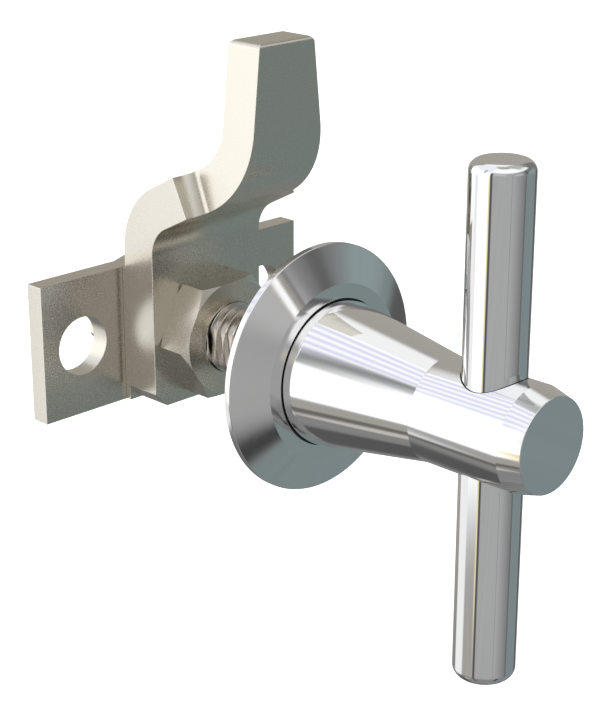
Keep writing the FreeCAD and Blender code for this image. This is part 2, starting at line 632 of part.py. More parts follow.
def makeEscutcheon():
    body = turned("escutcheon", [
        ("NeckLength", "BushDiameter / 2"),
        ("NeckLength", "NeckDiameter / 2 - NeckChamfer"),
        ("NeckLength - NeckChamfer", "NeckDiameter / 2"),
        ("0", "NeckDiameter / 2"),
        ("0", "GasketInner / 2"),
        ("0 - GasketThickness", "GasketInner / 2"),
        ("0 - GasketThickness", "GasketOuter / 2"),
        ("0", "GasketOuter / 2"),
        ("0", "RimDiameter / 2"),
        ("0 - RimEdge", "RimDiameter / 2"),
        ("0 - FaceHeight", "FaceDiameter / 2"),
        ("0 - FaceHeight", pocketRadius),
        ("0 - FloorThickness", pocketRadius),
        ("0 - FloorThickness", "BushDiameter / 2"),
    ])
    pocketHole(body, "stop_pin_hole", "XZ_Plane", "StopPinDiameter / 2", "0", stopPinRadius,
               "StopPinSink", "FloorThickness")
    pocketHole(body, "locating_pin_hole", "XZ_Plane", "LocatingPinDiameter / 2", "0",
               "0 - LocatingPinCircle / 2", "LocatingPinSink - GasketThickness", "GasketThickness",
               backwards=True)
    return body


def makeFrictionWasher():
    body = ring("friction_washer", "0 - FloorThickness - FrictionWasherThickness", "0 - FloorThickness",
                journalHole, f"{pocketRadius} - SealWidth - SealSpace")
    pocketHole(body, "pin_passage", "XZ_Plane", "StopPinDiameter / 2 + StopGrooveClearance", "0",
               stopPinRadius, "2 * FrictionWasherThickness", "FloorThickness + FrictionWasherThickness")
    return body


def makeDoorGasket():
    body = ring("door_gasket", "0 - GasketThickness", "0", "GasketInner / 2", "GasketOuter / 2")
    pocketHole(body, "pin_passage", "XZ_Plane", "LocatingPinDiameter / 2", "0", "0 - LocatingPinCircle / 2",
               "2 * GasketThickness", "GasketThickness")
    return body


def makeHubSeal():
    """A rubber ring in the corner of the pocket, with a thin lip that closes the gap round the hub."""
    foot = "0 - FloorThickness - FrictionWasherThickness"
    return turned("hub_seal", [
        ("0 - FloorThickness", f"{pocketRadius} - SealWidth"),
        ("0 - FloorThickness", pocketRadius),
        (f"{foot} - SealLipHeight", pocketRadius),
        (f"{foot} - SealLipHeight", f"{pocketRadius} - SealLip"),
        (foot, f"{pocketRadius} - SealLip"),
        (foot, f"{pocketRadius} - SealWidth"),
    ])


def makePin(label, front, rear, diameter, up):
    body = turned(label, [(front, "0"), (rear, "0"), (rear, f"{diameter} / 2"), (front, f"{diameter} / 2")])
    body.setExpression("Placement.Base.z", fromSheet(up))
    return body


pieces = [
    makeHub(),
    makeTeeBar(),
    makeGrubScrew(),
    makeSpindle(),
    hexagonNut("front_nut", "StandOff", camFront, "NutAcross", "NutThickness", spindleHole,
               "FrontNutTurn"),
    makeCam(),
    makeSpacer(),
    makeRodPlate(),
    makeLockWasher(),
    hexagonNut("rear_nut", lockWasherRear, rearNutRear, "NutAcross", "NutThickness", spindleHole,
               "RearNutTurn"),
    makeRetainingRing(),
    makeEscutcheon(),
    ring("neck_bush", "0 - FloorThickness", "NeckLength", journalHole, "BushDiameter / 2"),
    makeFrictionWasher(),
    makeHubSeal(),
    makeDoorGasket(),
    makePin("stop_pin", stopPinEnd, "StopPinSink - FloorThickness", "StopPinDiameter", stopPinRadius),
    makePin("locating_pin", "0 - LocatingPinSink", "DoorThickness", "LocatingPinDiameter",
            "0 - LocatingPinCircle / 2"),
    ring("mounting_washer", "DoorThickness", mountingNutFront, "NeckDiameter / 2 + SlideClearance",
         "MountingWasherDiameter / 2"),
    hexagonNut("mounting_nut", mountingNutFront, mountingNutRear, "MountingNutAcross",
               "MountingNutThickness", "NeckDiameter / 2 + SlideClearance"),
    ring("thrust_washer", "NeckLength", "NeckLength + ThrustWasherThickness", journalHole,
         "ThrustWasherDiameter / 2"),
]

doc.recompute()
for item in doc.Objects:
    if "Invalid" in item.State or "Error" in item.State:
        raise RuntimeError(f"{item.Label} failed: {item.State}")
for piece in pieces:
    if piece.Shape.isNull() or not piece.Shape.isValid() or len(piece.Shape.Solids) != 1:
        raise RuntimeError(f"{piece.Label} is not one sound solid")

os.makedirs("parts", exist_ok=True)
for piece in pieces:
    piece.Shape.exportStep(f"parts/{piece.Label}.step")
    box = piece.Shape.BoundBox
    print(f"{piece.Label}: {piece.Shape.Volume:.0f} mm3, y {box.YMin:.2f} to {box.YMax:.2f}")
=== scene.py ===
import math
import bpy
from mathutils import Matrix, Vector


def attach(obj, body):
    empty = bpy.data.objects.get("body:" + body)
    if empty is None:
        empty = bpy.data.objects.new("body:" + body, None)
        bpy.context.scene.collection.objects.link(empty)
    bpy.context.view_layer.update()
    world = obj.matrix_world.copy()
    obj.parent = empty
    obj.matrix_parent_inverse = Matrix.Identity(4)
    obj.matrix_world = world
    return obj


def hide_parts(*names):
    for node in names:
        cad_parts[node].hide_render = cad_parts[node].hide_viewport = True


# Cam latch: a tee handle in a rosette, a threaded spindle, and a cranked cam with a plate for two rods.
# The spindle lies along Y and the user stands at -Y. All values are in millimetres and degrees.
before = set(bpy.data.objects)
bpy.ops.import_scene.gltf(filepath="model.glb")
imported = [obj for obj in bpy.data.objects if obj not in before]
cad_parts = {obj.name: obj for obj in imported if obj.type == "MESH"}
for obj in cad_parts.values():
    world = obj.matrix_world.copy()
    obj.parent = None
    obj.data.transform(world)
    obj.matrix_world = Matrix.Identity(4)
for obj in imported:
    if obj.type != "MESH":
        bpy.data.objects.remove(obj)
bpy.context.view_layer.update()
mm = 0.001
near = 0.01  # how close a point has to be where edges are picked by their place
beyond = 1.0  # how far a cutter stands past what it cuts
weld = {"line": 0.0005, "thread": 0.001, "mesh": 0.002}  # distances at which points merge
print("frame loaded:", len(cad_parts), "nodes")


# tools
def deselect():
    bpy.ops.object.select_all(action="DESELECT")


def pick(piece):
    deselect()
    piece.select_set(True)
    bpy.context.view_layer.objects.active = piece


def edit(mode="VERT"):
    bpy.ops.object.mode_set(mode="EDIT")
    bpy.ops.mesh.select_mode(type=mode)
    bpy.ops.mesh.select_all(action="SELECT")


def leaveEdit():
    bpy.ops.object.mode_set(mode="OBJECT")


def placeInMesh(piece):
    pick(piece)
    bpy.ops.object.transform_apply(location=True, rotation=True, scale=True)


def modify(piece, kind, **settings):
    pick(piece)
    bpy.ops.object.modifier_add(type=kind)
    modifier = piece.modifiers[-1]
    for name, value in settings.items():
        setattr(modifier, name, value)
    bpy.ops.object.modifier_apply(modifier=modifier.name)


def carve(piece, cutter, operation="DIFFERENCE"):
    modify(piece, "BOOLEAN", object=cutter, operation=operation, solver="EXACT")
    bpy.data.objects.remove(cutter)


# leaves the piece in edit mode with the edges that pass the test selected
def selectEdges(piece, test):
    pick(piece)
    edit("EDGE")
    bpy.ops.mesh.select_all(action="DESELECT")
    leaveEdit()
    points = [v.co / mm for v in piece.data.vertices]
    for edge in piece.data.edges:
        a, b = edge.vertices
        edge.select = test(points[a], points[b])
    bpy.ops.object.mode_set(mode="EDIT")


# chamfers the edges that pass the test, or rounds them with more segments
def bevelEdges(piece, test, width, segments):
    selectEdges(piece, test)
    bpy.ops.mesh.bevel(offset=width * mm, segments=segments, affect="EDGES", offset_type="OFFSET")
    leaveEdit()


def faceOut(piece):
    pick(piece)
    edit()
    bpy.ops.mesh.normals_make_consistent(inside=False)
    leaveEdit()


def tidyMesh(piece):
    pick(piece)
    edit()
    bpy.ops.mesh.remove_doubles(threshold=weld["mesh"] * mm)
    leaveEdit()
    faceOut(piece)


# keeps the named rings sharp; each is (along the axis, radius)
def crease(piece, rings):
    def onRing(a, b):
        for y, r in rings:
            if all(abs(p.y - y) < near and abs(math.hypot(p.x, p.z) - r) < near for p in (a, b)):
                return True
        return False
    selectEdges(piece, onRing)
    bpy.ops.mesh.mark_sharp()
    leaveEdit()


# smooth where it curves, flat where it is flat, and sharp at the named rings
def finish(piece, angle, rings=()):
    pick(piece)
    bpy.ops.object.shade_smooth_by_angle(angle=math.radians(angle))
    if rings:
        crease(piece, rings)
    modify(piece, "WEIGHTED_NORMAL", keep_sharp=True, weight=60)


def soften(piece, width, angle):
    modify(piece, "BEVEL", width=width * mm, segments=2, limit_method="ANGLE",
           angle_limit=math.radians(angle), use_clamp_overlap=True)


def arc(centre, radius, start, end, count):
    steps = [math.radians(start + (end - start) * i / count) for i in range(count + 1)]
    return [(centre[0] + radius * math.cos(a), centre[1] + radius * math.sin(a)) for a in steps]


# a chain of edges, pulled from a plane that is merged to one point
def drawLine(name, points, closed=True):
    places = [Vector(p) * mm for p in points]
    if closed:
        places.append(places[0])
    deselect()
    bpy.ops.mesh.primitive_plane_add(size=mm, location=places[0])
    line = bpy.context.object
    line.name = name
    placeInMesh(line)
    edit()
    bpy.ops.mesh.merge(type="CENTER")
    for here, there in zip(places, places[1:]):
        bpy.ops.mesh.extrude_vertices_move(TRANSFORM_OT_translate={"value": there - here})
    bpy.ops.mesh.select_all(action="SELECT")
    bpy.ops.mesh.remove_doubles(threshold=weld["line"] * mm)
    leaveEdit()
    return line


# makes a drawn line a turned solid, about an axis through the centre
def spinLine(line, steps, centre, axis):
    edit()
    bpy.ops.mesh.spin(steps=steps, angle=2 * math.pi, center=centre, axis=axis, use_auto_merge=True)
    leaveEdit()
    tidyMesh(line)


# a piece turned about the spindle's axis; each point is (along the axis, radius)
def turn(name, outline, steps=96, closed=True):
    piece = drawLine(name, [(r, y, 0) for y, r in outline], closed)
    spinLine(piece, steps, centre=(0, 0, 0), axis=(0, 1, 0))
    return piece


# cuts away what lies on the normal's side of the plane, and closes the cut
def sliceOff(piece, place, normal):
    pick(piece)
    edit()
    bpy.ops.mesh.bisect(plane_co=Vector(place) * mm, plane_no=normal, use_fill=True, clear_outer=True)
    leaveEdit()


def sliceFlats(piece, flat):
    for side in (-1, 1):
        sliceOff(piece, (side * flat, 0, 0), (side, 0, 0))


def block(name, low, high):
    low, high = Vector(low), Vector(high)
    deselect()
    bpy.ops.mesh.primitive_cube_add(size=1, location=(low + high) / 2 * mm, scale=(high - low) * mm)
    cube = bpy.context.object
    cube.name = name
    placeInMesh(cube)
    return cube


# a cylinder along Z, before its rotation
def rod(radius, depth, centre, vertices, rotation=(0, 0, 0)):
    deselect()
    bpy.ops.mesh.primitive_cylinder_add(
        vertices=vertices, radius=radius * mm, depth=depth * mm,
        location=[value * mm for value in centre], rotation=[math.radians(value) for value in rotation])
    cylinder = bpy.context.object
    placeInMesh(cylinder)
    return cylinder


# the faces that pass the test get painted shade: a near-black material that stands for the shadow inside a
# hole
def paintHoleShade(piece, material, isWall):
    piece.data.materials.append(materials[material])
    piece.data.materials.append(materials["holeShadeSteel"])
    for face in piece.data.polygons:
        face.material_index = 1 if isWall(face.center / mm, face.normal) else 0


def dress(piece, body, material, slot, *nodes):
    if not piece.data.materials:
        piece.data.materials.append(materials[material])
    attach(piece, body)
    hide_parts(*nodes)


# sets each input of a node, or links it where the value is another node's output
def feed(tree, node, inputs):
    for name, value in inputs.items():
        if isinstance(value, bpy.types.NodeSocket):
            tree.links.new(value, node.inputs[name])
        else:
            node.inputs[name].default_value = value


def addNode(tree, kind, inputs=None, **settings):
    node = tree.nodes.new(kind)
    for name, value in settings.items():
        setattr(node, name, value)
    feed(tree, node, inputs or {})
    return node


def maths(tree, operation, *values):
    return addNode(tree, "ShaderNodeMath", dict(enumerate(values)), operation=operation).outputs[0]


def blend(tree, mask, below, above):
    return addNode(tree, "ShaderNodeMix", {0: mask, 6: below, 7: above}, data_type="RGBA").outputs[2]


def newGroup(name, inputs, outputs):
    group = bpy.data.node_groups.new(name, "ShaderNodeTree")
    for label, kind, value in inputs:
        socket = group.interface.new_socket(label, in_out="INPUT", socket_type="NodeSocket" + kind)
        if value is not None:
            socket.default_value = value
    for label, kind in outputs:
        group.interface.new_socket(label, in_out="OUTPUT", socket_type="NodeSocket" + kind)
    return group, group.nodes.new("NodeGroupInput").outputs, group.nodes.new("NodeGroupOutput")


# materials
noiseRange = {"From Min": 0.3, "From Max": 0.7}  # where nearly all values of a noise texture lie


# fine speckle of a blasted and plated surface, with soft clouds over it
def makeGrainGroup():
    group, given, out = newGroup(
        "platedGrain",
        [("Vector", "Vector", None), ("Grain Scale", "Float", 4000.0), ("Cloud Scale", "Float", 120.0),
         ("Dark", "Color", (0.5, 0.5, 0.5, 1)), ("Light", "Color", (0.6, 0.6, 0.6, 1)),
         ("Rough Low", "Float", 0.25), ("Rough High", "Float", 0.4)],
        [("Color", "Color"), ("Roughness", "Float"), ("Height", "Float")])
    grain, cloud = [
        addNode(group, "ShaderNodeTexNoise",
                {"Vector": given["Vector"], "Scale": given[scale], "Detail": detail}).outputs["Fac"]
        for scale, detail in (("Grain Scale", 3), ("Cloud Scale", 4))]
    mean = maths(group, "MULTIPLY", maths(group, "ADD", grain, cloud), 0.5)
    rough = addNode(group, "ShaderNodeMapRange", {
        "Value": mean, "To Min": given["Rough Low"], "To Max": given["Rough High"], **noiseRange})
    feed(group, out, {"Color": blend(group, mean, given["Dark"], given["Light"]),
                      "Roughness": rough.outputs["Result"], "Height": grain})
    return group


grainGroup = makeGrainGroup()
bumpDepth = 0.02
# darkest and lightest colour, lowest and highest roughness, scale of grain and clouds, bump, metallic
finishes = {
    "polishedSteel": ((0.86, 0.865, 0.87), (0.90, 0.90, 0.905), 0.02, 0.05, 900, 60, 0.0, 1),
    "turnedSteel": ((0.85, 0.85, 0.85), (0.89, 0.885, 0.88), 0.09, 0.13, 900, 60, 0.0, 1),
    "satinNickel": ((0.71, 0.68, 0.6), (0.79, 0.757, 0.675), 0.22, 0.34, 3500, 90, 0.05, 1),
    "threadNickel": ((0.70, 0.66, 0.60), (0.82, 0.78, 0.72), 0.16, 0.28, 3000, 120, 0.1, 1),
    "zincPlate": ((0.60, 0.62, 0.65), (0.74, 0.75, 0.78), 0.18, 0.34, 2500, 80, 0.15, 1),
    "springSteel": ((0.16, 0.16, 0.17), (0.26, 0.26, 0.27), 0.22, 0.38, 2500, 100, 0.15, 1),
    # painted shade: a near-black steel for the walls of holes and bores, where shade falls
    "holeShadeSteel": ((0.02, 0.02, 0.02), (0.05, 0.05, 0.05), 0.5, 0.7, 2500, 100, 0.2, 1),
    "bronze": ((0.50, 0.33, 0.17), (0.62, 0.43, 0.24), 0.28, 0.42, 2500, 100, 0.2, 1),
    "whiteNylon": ((0.72, 0.71, 0.67), (0.80, 0.79, 0.76), 0.40, 0.55, 2000, 80, 0.1, 0),
    "paleRubber": ((0.74, 0.70, 0.63), (0.82, 0.78, 0.71), 0.45, 0.6, 2500, 100, 0.15, 0),
    "blackRubber": ((0.012, 0.012, 0.013), (0.03, 0.03, 0.032), 0.55, 0.75, 2500, 100, 0.2, 0),
}


def makeMaterial(name, dark, light, roughLow, roughHigh, grainScale, cloudScale, bump, metallic):
    material = bpy.data.materials.new(name)
    material.use_nodes = True
    tree = material.node_tree
    place = addNode(tree, "ShaderNodeTexCoord")
    grain = addNode(tree, "ShaderNodeGroup", {
        "Vector": place.outputs["Object"], "Grain Scale": grainScale, "Cloud Scale": cloudScale,
        "Dark": (*dark, 1), "Light": (*light, 1), "Rough Low": roughLow, "Rough High": roughHigh,
    }, node_tree=grainGroup)
    relief = addNode(tree, "ShaderNodeBump", {
        "Strength": bump, "Distance": bumpDepth * mm, "Height": grain.outputs["Height"]})
    feed(tree, tree.nodes["Principled BSDF"], {
        "Metallic": metallic, "Base Color": grain.outputs["Color"],
        "Roughness": grain.outputs["Roughness"], "Normal": relief.outputs["Normal"]})
    return material


materials = {name: makeMaterial(name, *values) for name, values in finishes.items()}
print("materials made")


# rosette
rosetteSizes = {
    "rim": 20.15, "rimEdge": 1.1, "face": 14.3, "faceHeight": 3.95, "pocket": 11.93, "floor": 2.0,
    "neckRoot": 8.45, "neckCrest": 8.95, "neckPitch": 1.0, "neckTurns": 8, "neckEnd": 9.0, "bush": 7.0,
    "neckRunOut": 0.7, "neckFlat": 0.12, "neckFlank": 0.55, "neckChamfer": 0.15,
    "gasketInner": 11.0, "gasketOuter": 18.0, "gasketDepth": 0.8, "edge": 0.12,
}


def makeRosette(s):
    threads = []
    for i in range(s["neckTurns"]):  # grooves of the fine thread, from the rear end forwards
        y = s["neckEnd"] - s["neckRunOut"] - i * s["neckPitch"]
        threads += [(y, s["neckCrest"]), (y - s["neckFlat"], s["neckCrest"]),
                    (y - s["neckFlank"], s["neckRoot"])]
    outline = [
        (s["neckEnd"], s["bush"]), (s["neckEnd"], s["neckRoot"] - s["neckChamfer"]), *threads,
        (0, s["neckRoot"]), (0, s["gasketInner"]), (-s["gasketDepth"], s["gasketInner"]),
        (-s["gasketDepth"], s["gasketOuter"]), (0, s["gasketOuter"]), (0, s["rim"]),
        (-s["rimEdge"], s["rim"]), (-s["faceHeight"], s["face"]), (-s["faceHeight"], s["pocket"]),
        (-s["floor"], s["pocket"]), (-s["floor"], s["bush"]),
    ]
    rosette = turn("rosetteShell", outline, steps=192)
    soften(rosette, s["edge"], angle=50)
    finish(rosette, angle=40, rings=[(-s["faceHeight"], s["face"])])
    return rosette


rosette = makeRosette(rosetteSizes)
dress(rosette, "rosette", "turnedSteel", "polished_steel", "escutcheon")
print("rosette turned")


# handle
hubSizes = {
    "rear": -3.15, "base": 11.72, "bandTop": -5.55, "baseRound": 0.35, "roundMiddle": 0.02,
    "roundEnd": 0.075, "waist": 8.3, "waistAt": -26.6, "headAt": -43.2, "endAt": -46.8, "end": 7.35,
    "bore": 5.02, "drill": 4.25, "threadEnd": -22.55, "barAt": -35.9, "barHole": 5.0, "holeDepth": 40.0,
    "edge": 0.12,
}
# how near the bar hole's wall, its rim and the head's skin are, and how much a wall faces inwards
hubNear = {"wall": 0.06, "rim": 0.05, "skin": 0.02, "facing": -0.9}
barSizes = {"radius": 4.85, "low": -41.0, "high": 40.0, "round": 1.8, "roundSteps": 10, "axisAt": -35.9}


def makeHub(s):
    outline = [
        (s["rear"], s["bore"]), (s["rear"], s["base"]), (s["bandTop"] + s["baseRound"], s["base"]),
        (s["bandTop"], s["base"] - s["roundMiddle"]),
        (s["bandTop"] - s["baseRound"], s["base"] - s["roundEnd"]),
        (s["waistAt"], s["waist"]), (s["headAt"], s["waist"]), (s["endAt"], s["end"]), (s["endAt"], 0),
        (s["barAt"], 0), (s["barAt"], s["drill"]), (s["threadEnd"], s["drill"]), (s["threadEnd"], s["bore"]),
    ]
    hub = turn("hubBody", outline, steps=256)
    soften(hub, s["edge"], angle=50)
    finish(hub, angle=60, rings=[(s["waistAt"], s["waist"]), (s["headAt"], s["waist"])])
    pick(hub)
    bpy.ops.object.duplicate()
    uncut = bpy.context.object
    carve(hub, rod(s["barHole"], s["holeDepth"], (0, s["barAt"], 0), vertices=128))

    axis = Vector((0, s["barAt"], 0))

    # the bar hole's wall gets painted shade, a near-black material for the shadow in the hole
    def isWall(place, normal):
        away = (place - axis) * Vector((1, 1, 0))
        isAtHole = abs(away.length - s["barHole"]) < hubNear["wall"]
        return isAtHole and normal.dot(away.normalized()) < hubNear["facing"]
    paintHoleShade(hub, "polishedSteel", isWall)

    # the uncut hub lends its normals to the cut one, so the polish stays even round the hole
    whole = hub.vertex_groups.new(name="whole")
    rim = hub.vertex_groups.new(name="rim")
    for vertex in hub.data.vertices:
        x, y, z = vertex.co / mm
        isOnHead = s["headAt"] + hubNear["rim"] < y < s["waistAt"] - hubNear["rim"]
        if isOnHead and abs(math.hypot(x, z) - s["waist"]) < hubNear["skin"]:
            rim.add([vertex.index], 1.0, "REPLACE")
        elif math.hypot(x, y - s["barAt"]) > s["barHole"] + hubNear["rim"]:
            whole.add([vertex.index], 1.0, "REPLACE")
    for group, mapping in ((whole, "NEAREST_POLYNOR"), (rim, "POLYINTERP_NEAREST")):
        modify(hub, "DATA_TRANSFER", object=uncut, use_loop_data=True, data_types_loops={"CUSTOM_NORMAL"},
               loop_mapping=mapping, vertex_group=group.name)
    bpy.data.objects.remove(uncut)
    return hub


def makeBar(s):
    inner = s["radius"] - s["round"]
    low = arc((s["low"] + s["round"], inner), s["round"], 180, 90, s["roundSteps"])
    high = arc((s["high"] - s["round"], inner), s["round"], 90, 0, s["roundSteps"])
    outline = [(s["low"], 0), *low, *high, (s["high"], 0)]
    bar = drawLine("teeBar", [(r, s["axisAt"], z) for z, r in outline], closed=False)
    spinLine(bar, steps=192, centre=(0, s["axisAt"] * mm, 0), axis=(0, 0, 1))
    finish(bar, angle=40)
    return bar


hub = makeHub(hubSizes)
dress(hub, "handle", "polishedSteel", "polished_steel", "handle_hub")
bar = makeBar(barSizes)
dress(bar, "handle", "polishedSteel", "polished_steel", "tee_bar")
print("handle turned")


# spindle and nuts
# the thread starts "lead" pitches before its cut end; its profile is (share of the pitch, level)
threadSizes = {
    "pitch": 1.75, "crest": 5.95, "root": 5.0, "lead": 2.03, "spareTurns": 3, "steps": 72, "overlap": 0.01,
    "profile": [(0, "root"), (0.25, "root"), (0.5625, "crest"), (0.6875, "crest"), (1, "root")],
}
spindleSizes = {
    "front": -17.15, "stud": 5.0, "shoulder": -3.15, "journal": 5.97, "retainerFront": 9.85,
    "retainerRear": 10.85, "groove": 5.75, "flatsFrom": 12.0, "flat": 5.2, "rear": 46.9, "chamfer": 1.0,
    "blank": 7.0,
}


# a rod with a helical thread, cut square at both ends
def makeThread(s, start, end):
    turns = math.ceil((end - start) / s["pitch"]) + s["spareTurns"]
    base = start - s["pitch"] * s["lead"]
    shape = [(s[level], base + share * s["pitch"], 0) for share, level in s["profile"]]
    thread = drawLine("spindleThread", shape, closed=False)
    modify(thread, "SCREW", axis="Y", angle=2 * math.pi, screw_offset=s["pitch"] * mm, iterations=turns,
           steps=s["steps"], render_steps=s["steps"], use_merge_vertices=True,
           merge_threshold=weld["thread"] * mm)
    tidyMesh(thread)
    sliceOff(thread, (0, start, 0), (0, -1, 0))
    sliceOff(thread, (0, end, 0), (0, 1, 0))
    faceOut(thread)
    return thread


def makeSpindle(s):
    front = turn("spindleRod", [
        (s["front"], 0), (s["front"], s["stud"] - s["chamfer"]), (s["front"] + s["chamfer"], s["stud"]),
        (s["shoulder"], s["stud"]), (s["shoulder"], s["journal"]), (s["retainerFront"], s["journal"]),
        (s["retainerFront"], s["groove"]), (s["retainerRear"], s["groove"]),
        (s["retainerRear"], s["journal"]), (s["flatsFrom"], s["journal"]), (s["flatsFrom"], 0),
    ], closed=False)
    thread = makeThread(threadSizes, s["flatsFrom"] - threadSizes["overlap"], s["rear"])
    envelope = turn("envelope", [
        (s["flatsFrom"] - beyond, 0), (s["flatsFrom"] - beyond, s["blank"]),
        (s["rear"] - s["chamfer"], s["blank"]), (s["rear"] - s["chamfer"], s["journal"]),
        (s["rear"], s["journal"] - s["chamfer"]), (s["rear"], 0),
    ], closed=False)
    carve(thread, envelope, "INTERSECT")
    sliceFlats(thread, s["flat"])
    pick(front)
    thread.select_set(True)
    bpy.ops.object.join()
    finish(front, angle=25)
    return front


# of all nuts: the blank's radius as a share of the width across the flats, the cone of their faces,
# the rounding of their corner edges, and how those edges and the walls of the hole are known
nutShape = {"blank": 0.59, "cone": 30, "rounding": 0.14, "cornerDepth": 0.1, "cornerLength": 0.5,
            "wall": 0.02, "wallLean": 0.1}
frontNutSizes = {"front": 19.7, "rear": 25.7, "across": 19.0, "frontFace": 9.65, "rearFace": 10.2,
                 "turned": 2.5, "bore": 5.97, "edge": 0.08}
rearNutSizes = {"front": 38.9, "rear": 44.9, "across": 19.0, "frontFace": 10.2, "rearFace": 9.65,
                "turned": 14.0, "bore": 5.97, "edge": 0.08}
mountingNutSizes = {"front": 3.0, "rear": 6.5, "across": 22.0, "frontFace": 11.18, "rearFace": 11.18,
                    "turned": 0.0, "bore": 9.0, "edge": 0.4}


def makeNut(name, material, front, rear, across, frontFace, rearFace, turned, bore, edge):
    corner = across / math.sqrt(3)
    nut = rod(corner, rear - front, (0, (front + rear) / 2, 0), vertices=6, rotation=(90, 30 - turned, 0))
    nut.name = name
    # both faces are turned to a shallow cone that takes the corners off
    outside = across * nutShape["blank"]
    slope = math.tan(math.radians(nutShape["cone"]))
    envelope = turn("envelope", [
        (front, 0), (front, frontFace), (front + (outside - frontFace) * slope, outside),
        (rear - (outside - rearFace) * slope, outside), (rear, rearFace), (rear, 0),
    ], steps=144, closed=False)
    carve(nut, envelope, "INTERSECT")

    def isCorner(a, b):
        isLong = abs(a.y - b.y) > nutShape["cornerLength"]
        return isLong and all(math.hypot(p.x, p.z) > corner - nutShape["cornerDepth"] for p in (a, b))
    bevelEdges(nut, isCorner, nutShape["rounding"], segments=2)
    drill = turn("drill", [
        (front - beyond, 0), (front - beyond, bore + edge + beyond), (front + edge, bore),
        (rear - edge, bore), (rear + beyond, bore + edge + beyond), (rear + beyond, 0),
    ], closed=False)
    carve(nut, drill)

    # the bore's wall gets painted shade, a near-black material for the shadow in the bore
    def isWall(place, normal):
        isInside = math.hypot(place.x, place.z) < bore + nutShape["wall"]
        return isInside and abs(normal.y) < nutShape["wallLean"]
    paintHoleShade(nut, material, isWall)
    finish(nut, angle=25)
    return nut


spindle = makeSpindle(spindleSizes)
dress(spindle, "handle", "threadNickel", "nickel_thread", "spindle")
frontNut = makeNut("frontNut", "satinNickel", **frontNutSizes)
dress(frontNut, "handle", "satinNickel", "satin_nickel", "front_nut")
rearNut = makeNut("rearNut", "satinNickel", **rearNutSizes)
dress(rearNut, "handle", "satinNickel", "satin_nickel", "rear_nut")
mountingNut = makeNut("mountingNut", "zincPlate", **mountingNutSizes)
dress(mountingNut, "rosette", "zincPlate", "zinc_plate", "mounting_nut")
print("spindle and nuts made")


# cam, plate and washers
camSizes = {
    "front": 25.7, "thickness": 7.0, "width": 23.9, "foot": 11.3, "footChamfer": 2.5, "crank": 19.15,
    "bendStart": 14.9, "bend": 62.8, "lowerBend": 6.0, "upperBend": 8.0, "shoulder": 6.0,
    "shoulderRound": 2.25, "reach": 51.0, "tipWidth": 11.7, "taper": 6.0, "tipRound": 0.8, "edge": 0.15,
}
wedgeSizes = {"side": 30.0, "front": -10.0, "rear": 60.0, "low": -10.0, "high": 70.0}
plateSizes = {"front": 33.8, "rear": 37.3, "length": 56.8, "height": 23.4, "holes": 20.3, "hole": 4.9,
              "holeDepth": 20.0, "edge": 0.15}
spacerSizes = {"front": 32.7, "rear": 33.8, "width": 23.2, "edge": 0.1}
spindleHole = {"radius": 6.05, "flat": 5.25}


# gives a flat piece its fine bevels and the hole that fits the spindle and its flats
def openForSpindle(piece, front, rear, edge):
    soften(piece, edge, angle=35)
    front, rear, radius = front - beyond, rear + beyond, spindleHole["radius"]
    cutter = turn("spindleCutter", [(front, 0), (front, radius), (rear, radius), (rear, 0)], closed=False)
    sliceFlats(cutter, spindleHole["flat"])
    carve(piece, cutter)
    finish(piece, angle=25)


# a side outline of (y, z) points, filled and pulled to its width across X
def pullAcross(name, outline, width):
    piece = drawLine(name, [(-width / 2, y, z) for y, z in outline])
    edit()
    bpy.ops.mesh.edge_face_add()
    bpy.ops.mesh.extrude_region_move(TRANSFORM_OT_translate={"value": (width * mm, 0, 0)})
    leaveEdit()
    tidyMesh(piece)
    return piece


# cuts the shoulders and the tapered tip: a wedge on each side, its inner edge rounded
def cutShoulders(cam, s, shoulder, along):
    taper = math.radians(s["taper"])

    def isCorner(a, b):
        isOnShoulder = all(abs((p - shoulder).dot(along)) < near for p in (a, b))
        isInside = all(abs(p.x) < wedgeSizes["side"] - beyond for p in (a, b))
        return isOnShoulder and isInside
    for side in (-1, 1):
        outside = side * wedgeSizes["side"]
        wedge = block("wedge", (min(0, outside), wedgeSizes["front"], wedgeSizes["low"]),
                      (max(0, outside), wedgeSizes["rear"], wedgeSizes["high"]))
        sliceOff(wedge, shoulder, -along)
        top = (side * s["tipWidth"] / 2, 0, s["reach"])
        sliceOff(wedge, top, (-side * math.cos(taper), 0, -math.sin(taper)))
        bevelEdges(wedge, isCorner, s["shoulderRound"], segments=10)
        carve(cam, wedge)


